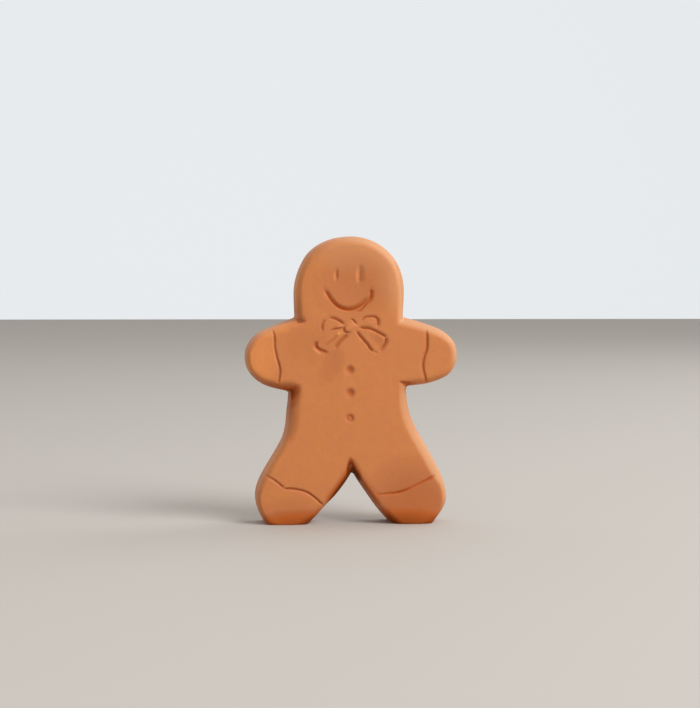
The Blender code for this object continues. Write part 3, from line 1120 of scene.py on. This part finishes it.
    def painted_highlighting(self, spots: np.ndarray, normals: np.ndarray) -> np.ndarray:
        """The share of whitish painted highlight, most where the rounded edge faces up and to the
        right.

        Args:
            spots: The x and z of each vertex.
            normals: The way each vertex faces.

        Returns:
            The share of painted highlight at each.
        """
        towards_light = self.light_across * normals[:, 0] + self.light_up * normals[:, 2]
        edge = self.highlight_share * soft_step(towards_light, self.highlight_span)
        highlight = np.maximum(edge, sum(mark.press(spots) for mark in HIGHLIGHT_PATCHES))
        return soft_step(-normals[:, 1], self.highlight_facing) * highlight

    def shape_surface(self, bm: bmesh.types.BMesh) -> tuple[np.ndarray, np.ndarray]:
        """Presses the lines, dents and lumps into the skin.

        Args:
            bm: The skin, whose vertices are moved.

        Returns:
            How deep the clay's colour is at each vertex, 1 in a pressed line, whose darkening is
            painted shade, 2 in painted shadow and -1 in painted light, and the share of painted
            highlight there.
        """
        bm.normal_update()
        places = np.array([vert.co for vert in bm.verts])
        normals = np.array([vert.normal for vert in bm.verts])
        spots = places[:, [0, 2]]
        facing = soft_step(-normals[:, 1], self.front_facing)
        pressed, line_shade = np.zeros(len(spots)), np.zeros(len(spots))
        for line in FACE + BOW + CUFFS + FOLDS:
            depths = line.press(spots)
            pressed = np.maximum(pressed, depths)
            line_shade = np.maximum(line_shade, depths * line.painted_shade)
        for button in BUTTONS:
            depths = button.press(spots)
            pressed = pressed + depths
            line_shade = line_shade + depths
        gaps = self.edge_gap(spots)
        formed = self.head_fall(spots, gaps)
        for mark in LUMPS + HOLLOWS:
            formed = formed + mark.press(spots)
        depth = self.unevenness(places) + facing * (pressed + formed)
        moved = places - normals * depth[:, None]
        low, high = (np.array(corner) / MM for corner in CAD_BOX)
        moved = np.clip(moved, low + self.clearance, high - self.clearance)
        # The soles stay level: what lies in the lowest band keeps its height.
        moved[:, 2] = np.where(places[:, 2] < self.sole_band, places[:, 2], moved[:, 2]).clip(0.0)
        for vert, place in zip(bm.verts, moved):
            vert.co = place
        # The darkening of the pressed lines is painted shade.
        deepest = max(line.depth for line in FACE)
        tint = np.clip(line_shade / deepest, 0.0, 1.0) ** self.line_shade_sharpness
        tint = tint + sum(mark.press(spots) for mark in TINTS_AND_PAINTED_SHADING)
        # Painted shade near the outline, with painted light for its lumps.
        nearness = smoothstep(1 - gaps / self.crevice_reach)
        nearness = nearness * soft_step(-normals[:, 1], self.crevice_facing)
        crevice = nearness * sum(mark.press(spots) for mark in CREVICES)
        # The painted highlight is held back where painted shade lies near the outline.
        painted_highlight = self.painted_highlighting(spots, normals) * (1 - np.clip(crevice, 0.0, 1.0))
        return np.clip(facing * tint + crevice, *self.tone_limits), painted_highlight

    def build(self, finish: FiredClay) -> bpy.types.Object:
        """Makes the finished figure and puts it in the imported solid's place.

        Args:
            finish: The clay's finish.

        Returns:
            The figure's object.
        """
        bm = self.even_skin(self.slab())
        self.refine_near_lines(bm)
        self.vary_edges(bm)
        tones = dict(zip(("pressed", "painted_highlight"), self.shape_surface(bm)))
        bmesh.ops.recalc_face_normals(bm, faces=bm.faces)
        bmesh.ops.scale(bm, vec=(MM, MM, MM), verts=bm.verts)
        figure = new_mesh_object(self.name, bm)
        for name, values in tones.items():
            layer = figure.data.attributes.new(name, "FLOAT", "POINT")
            layer.data.foreach_set("value", values.astype(np.float32))
        figure.data.materials.append(finish.material())
        figure.data.shade_smooth()
        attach(figure, BODY)
        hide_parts(NODE)
        return figure


def look_from(azimuth: float, elevation: float) -> Vector:
    """A unit vector from the figure, 0 being straight out of its face and 90 to the right."""
    turn, rise = math.radians(azimuth), math.radians(elevation)
    return Vector((math.sin(turn) * math.cos(rise), -math.cos(turn) * math.cos(rise), math.sin(rise)))


@dataclass(frozen=True)
class SoftLight:
    """A square soft light, aimed at the figure. Lengths are in metres."""

    name: str
    azimuth: float
    elevation: float
    distance: float
    size: float
    watts: float
    colour: Colour = (1.0, 1.0, 1.0)

    def add(self, target: Vector) -> bpy.types.Object:
        """Puts the light in the scene.

        Args:
            target: The point that it is aimed at.

        Returns:
            The light's object.
        """
        data = bpy.data.lights.new(self.name, "AREA")
        data.shape = "SQUARE"
        data.size = self.size
        data.energy = self.watts
        data.color = self.colour
        lamp = bpy.data.objects.new(self.name, data)
        away = look_from(self.azimuth, self.elevation)
        lamp.location = target + away * self.distance
        lamp.rotation_mode = "QUATERNION"
        lamp.rotation_quaternion = away.to_track_quat("Z", "Y")
        bpy.context.scene.collection.objects.link(lamp)
        return lamp


KEY_LIGHT = SoftLight(
    "key_light",
    azimuth=48.0,
    elevation=38.0,
    distance=1.5,
    size=0.85,
    watts=21.0,
    colour=(1.0, 0.99, 0.97),
)
WINDOW_LIGHT = SoftLight(
    "window_light", azimuth=120.0, elevation=35.0, distance=1.3, size=0.7, watts=4.0
)


@dataclass
class Studio:
    """The plain pale floor, the soft light and the camera. Lengths are in metres."""

    floor_size: float = 6.0
    floor_colour: Colour = (0.46, 0.44, 0.415)
    floor_roughness: float = 0.8
    colour_before: Colour = (1.0, 0.88, 0.74)
    colour_behind: Colour = (0.95, 0.98, 1.0)
    strength: Span = (0.42, 0.85)
    image_long_side: int = 708
    sensor: float = 36.0
    near_clip: float = 0.01
    camera_distance: float = 0.45
    camera_azimuth: float = -3.5
    camera_height: float = 0.062
    target: tuple[float, float, float] = (-0.00038, 0.0, 0.0447)
    metres_per_pixel: float = 0.0002648

    def floor(self) -> bpy.types.Object:
        """Lays a wide pale floor that the figure stands on.

        Returns:
            The floor's object.
        """
        bm = bmesh.new()
        bmesh.ops.create_grid(bm, x_segments=2, y_segments=2, size=self.floor_size / 2)
        plane = new_mesh_object("floor", bm)
        paint = bpy.data.materials.new("pale_floor")
        shader = NodeBench(paint).nodes["Principled BSDF"]
        shader.inputs["Base Color"].default_value = (*self.floor_colour, 1.0)
        shader.inputs["Roughness"].default_value = self.floor_roughness
        plane.data.materials.append(paint)
        return plane

    def lamps(self) -> None:
        """Adds the large key light from the upper right and the weak one from behind."""
        for lamp in (KEY_LIGHT, WINDOW_LIGHT):
            lamp.add(Vector(self.target))

    def soft_light(self) -> None:
        """Makes the soft light from all around, dim and warm in front and brighter behind."""
        world = bpy.data.worlds.new("soft_room")
        bench = NodeBench(world)
        place = bench.nodes.new("ShaderNodeSeparateXYZ")
        generated = bench.nodes.new("ShaderNodeTexCoord").outputs["Generated"]
        bench.links.new(generated, place.inputs["Vector"])
        front_to_back = (-1.0, 1.0)
        share = bench.remap(place.outputs["Y"], front_to_back)
        strength = bench.remap(place.outputs["Y"], front_to_back, self.strength)
        colour = bench.mix(share, self.colour_before, self.colour_behind)
        background = bench.nodes["Background"]
        bench.links.new(colour, background.inputs["Color"])
        bench.links.new(strength, background.inputs["Strength"])
        bpy.context.scene.world = world

    def camera(self) -> bpy.types.Object:
        """Sets the camera at the photograph's angle, its lens worked out from the figure's scale.

        Returns:
            The camera's object.
        """
        data = bpy.data.cameras.new("camera")
        data.sensor_width = self.sensor
        data.lens = self.camera_distance / self.metres_per_pixel * self.sensor / self.image_long_side
        data.clip_start = self.near_clip
        eye = bpy.data.objects.new("camera", data)
        place = look_from(self.camera_azimuth, 0.0) * self.camera_distance
        place.z = self.camera_height
        eye.location = place
        eye.rotation_mode = "QUATERNION"
        eye.rotation_quaternion = (place - Vector(self.target)).to_track_quat("Z", "Y")
        bpy.context.scene.collection.objects.link(eye)
        bpy.context.scene.camera = eye
        return eye

    def build(self) -> None:
        """Sets up the floor, the lights, the camera and a plain rendering of colour."""
        self.floor()
        self.lamps()
        self.soft_light()
        self.camera()
        bpy.context.scene.view_settings.view_transform = "Standard"


def main() -> None:
    """Builds the figure and the studio, and reports each piece."""
    logging.basicConfig(level=logging.INFO, format="%(message)s")
    figure = ClayFigure().build(FiredClay())
    LOG.info("%s: %d faces", figure.name, len(figure.data.polygons))
    Studio().build()
    LOG.info("studio: floor, lights and camera")


if __name__ == "__main__":
    main()
